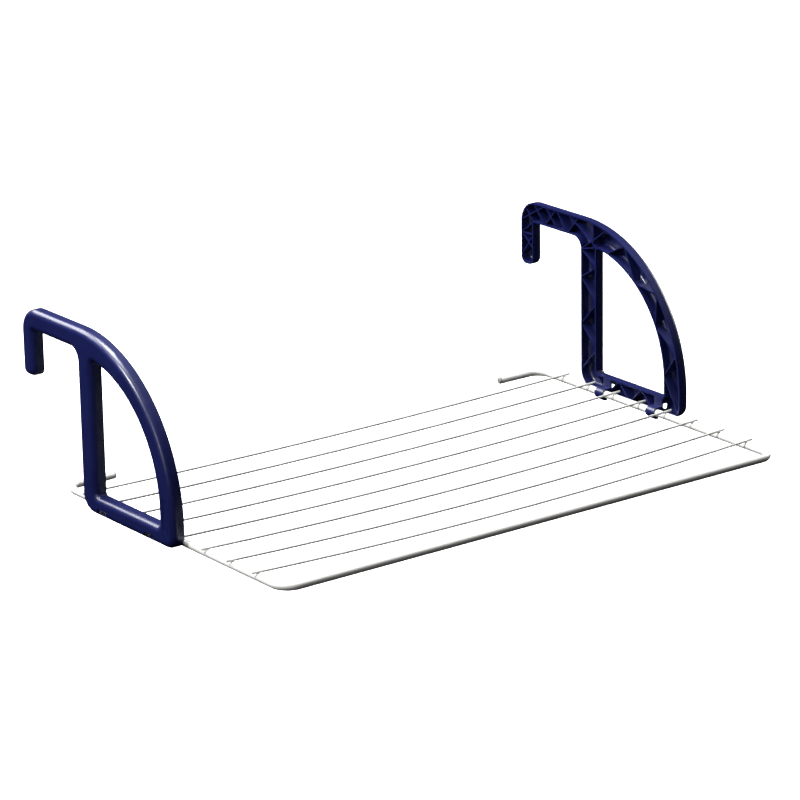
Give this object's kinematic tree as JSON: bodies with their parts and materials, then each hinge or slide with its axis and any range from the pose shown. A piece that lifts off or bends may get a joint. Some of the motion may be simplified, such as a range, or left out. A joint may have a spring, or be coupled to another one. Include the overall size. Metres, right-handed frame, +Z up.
{
  "type": "hang-over drying rack",
  "caption": "Clothes drying rack that hangs over a rail on two fold-down plastic hook arms, with a bent steel tube frame and thin line wires.",
  "frame": {"origin": "midway between the two hooks, on top of the rail (z = 0) at its front face (y = 0)", "axes": "+X along the line wires, +Y behind the rail that the hooks hang on, +Z up"},
  "size_m": [0.8348, 0.543, 0.2449],
  "materials": {
    "white_coated_steel": "smooth white powder coat",
    "white_coated_wire": "smooth white plastic coat",
    "end_plug": "moulded dark grey",
    "navy_plastic": "glossy navy moulding"
  },
  "bodies": {
    "rack": {"frame_tube": "white_coated_steel", "back_bend_left": "white_coated_steel", "back_bend_right": "white_coated_steel", "back_leg_left": "white_coated_steel", "back_leg_right": "white_coated_steel", "line_wire_1": "white_coated_wire", "line_wire_2": "white_coated_wire", "line_wire_3": "white_coated_wire", "line_wire_4": "white_coated_wire", "line_wire_5": "white_coated_wire", "line_wire_6": "white_coated_wire", "line_wire_7": "white_coated_wire", "line_wire_8": "white_coated_wire", "end_plug_left": "end_plug", "end_plug_right": "end_plug"},
    "left_arm": {"hook_arm_left": "navy_plastic"},
    "right_arm": {"hook_arm_right": "navy_plastic"}
  },
  "joints": [
    {"name": "left_arm_fold", "type": "hinge", "parent": "rack", "child": "left_arm", "pos_m": [-0.3915, -0.11, -0.2081], "axis": [0, 1, 0], "range_deg": [0, 90]},
    {"name": "right_arm_fold", "type": "hinge", "parent": "rack", "child": "right_arm", "pos_m": [0.3915, -0.11, -0.2081], "axis": [0, -1, 0], "range_deg": [0, 90]}
  ]
}
